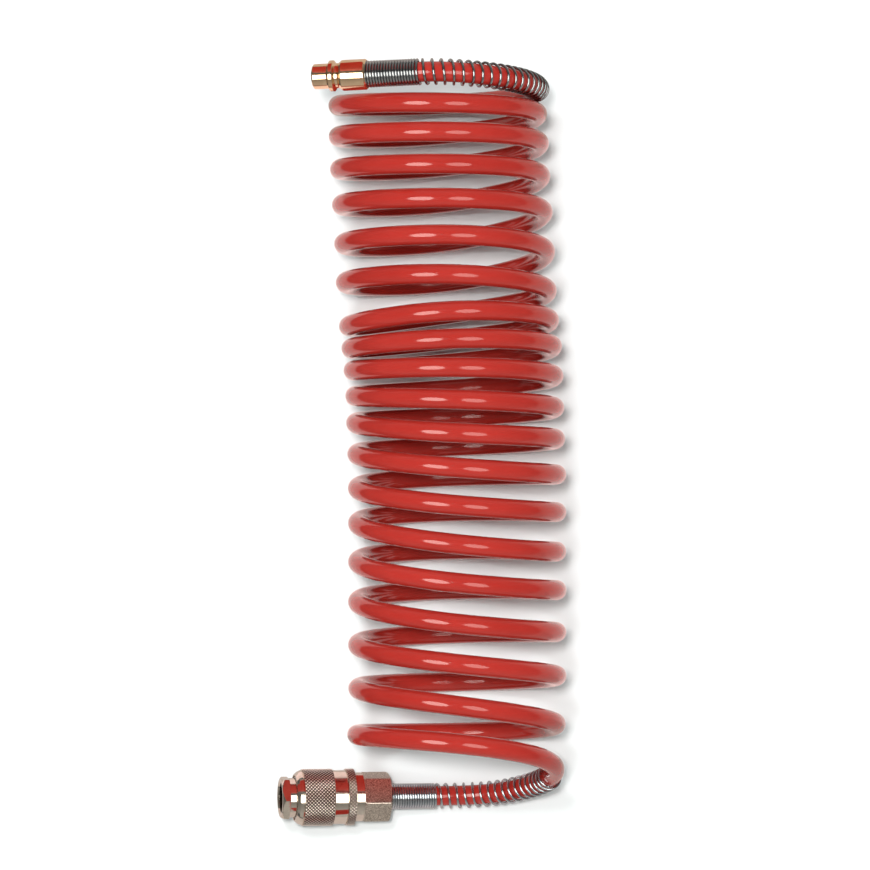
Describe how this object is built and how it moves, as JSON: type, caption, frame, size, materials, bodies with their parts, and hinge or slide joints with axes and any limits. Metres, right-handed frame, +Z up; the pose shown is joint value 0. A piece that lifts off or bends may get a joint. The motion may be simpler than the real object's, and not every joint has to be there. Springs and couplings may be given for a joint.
{
  "type": "coiled air hose",
  "caption": "Recoil air hose of coiled nylon tube with a quick-connect plug at one end, a sleeve-operated quick coupling at the other, and a guard spring on each end.",
  "frame": {"origin": "on the resting surface, under the middle of the whole hose", "axes": "+Z up from the resting surface; +Y along the coil towards the plug end; +X to the right seen from above with the plug end away from the viewer, so both fittings point to -X"},
  "size_m": [0.1165, 0.3063, 0.0884],
  "materials": {
    "hose_nylon": "glossy red nylon tube",
    "plug_brass": "turned brass, lightly polished",
    "valve_brass": "turned brass",
    "guard_wire": "bright drawn spring wire",
    "body_nickel": "satin nickel plate",
    "sleeve_nickel": "satin nickel plate over knurling",
    "tail_nickel": "satin nickel plate over grainy hexagon faces",
    "spring_steel": "plain spring steel",
    "ball_steel": "polished hard steel",
    "seal_rubber": "black nitrile"
  },
  "bodies": {
    "root": {"hose_coil": "hose_nylon", "hose_coupling_end": "hose_nylon", "coupling_guard_spring": "guard_wire", "coupling_tail": "tail_nickel", "coupling_body": "body_nickel", "sleeve_stop_ring": "spring_steel", "nose_seal": "seal_rubber", "body_gasket": "seal_rubber", "sleeve_spring": "spring_steel", "valve_spring": "spring_steel"},
    "plug_end": {"hose_plug_end": "hose_nylon", "plug_body": "plug_brass", "plug_guard_spring": "guard_wire"},
    "sleeve": {"coupling_sleeve": "sleeve_nickel"},
    "ball_1": {"locking_ball_1": "ball_steel"},
    "ball_2": {"locking_ball_2": "ball_steel"},
    "ball_3": {"locking_ball_3": "ball_steel"},
    "ball_4": {"locking_ball_4": "ball_steel"},
    "valve": {"valve_poppet": "valve_brass", "valve_seal": "seal_rubber"}
  },
  "joints": [
    {"name": "coil_stretch", "type": "slide", "parent": "root", "child": "plug_end", "axis": [-0.0298, 0.9996, 0], "range_m": [0, 0.6], "stiffness_N_per_m": 18, "deforming": ["hose_coil"]},
    {"name": "sleeve_slide", "type": "slide", "parent": "root", "child": "sleeve", "axis": [0.9829, 0, -0.184], "range_m": [0, 0.0032], "stiffness_N_per_m": 6000, "springref_m": -0.002, "deforming": ["sleeve_spring"]},
    {"name": "ball_1_slide", "type": "slide", "parent": "root", "child": "ball_1", "axis": [-0.1301, 0.7071, -0.695], "range_m": [0, 0.00096]},
    {"name": "ball_2_slide", "type": "slide", "parent": "root", "child": "ball_2", "axis": [0.1301, 0.7071, 0.695], "range_m": [0, 0.00096]},
    {"name": "ball_3_slide", "type": "slide", "parent": "root", "child": "ball_3", "axis": [0.1301, -0.7071, 0.695], "range_m": [0, 0.00096]},
    {"name": "ball_4_slide", "type": "slide", "parent": "root", "child": "ball_4", "axis": [-0.1301, -0.7071, -0.695], "range_m": [0, 0.00096]},
    {"name": "valve_slide", "type": "slide", "parent": "root", "child": "valve", "axis": [0.9829, 0, -0.184], "range_m": [0, 0.0034], "stiffness_N_per_m": 2000, "springref_m": -0.0015, "deforming": ["valve_spring"]}
  ],
  "couplings": [
    {"joint": "ball_1_slide", "follows": "sleeve_slide", "ratio": 0.29688},
    {"joint": "ball_2_slide", "follows": "sleeve_slide", "ratio": 0.29688},
    {"joint": "ball_3_slide", "follows": "sleeve_slide", "ratio": 0.29688},
    {"joint": "ball_4_slide", "follows": "sleeve_slide", "ratio": 0.29688}
  ]
}
